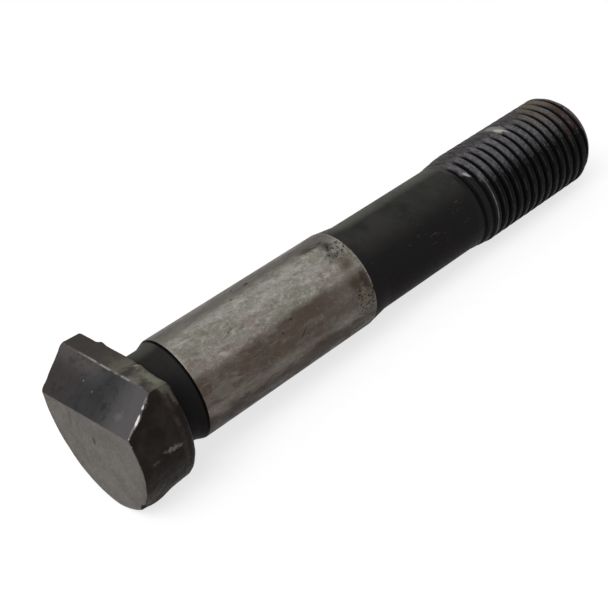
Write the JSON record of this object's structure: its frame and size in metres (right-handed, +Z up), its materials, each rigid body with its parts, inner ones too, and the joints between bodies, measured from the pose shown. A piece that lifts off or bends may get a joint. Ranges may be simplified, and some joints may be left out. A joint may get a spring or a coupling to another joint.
{
  "type": "connecting rod bolt",
  "caption": "One-piece connecting rod bolt lying on its side: forged half-round head with a bevel and a locating flat, ground land, slim shank and fine-threaded end.",
  "frame": {"origin": "on the floor under the middle of the bolt's bounding box, as it lies at rest", "axes": "+X from the head to the threaded end, dipping 1.7 degrees because the head is wider than the thread, +Y across the bolt, +Z up"},
  "size_m": [0.0686, 0.017, 0.0134],
  "materials": {
    "steel": "black-oxided alloy steel, forged head, one ground grey land, worn and lightly stained"
  },
  "bodies": {
    "root": {"rod_bolt": "steel"}
  },
  "joints": []
}
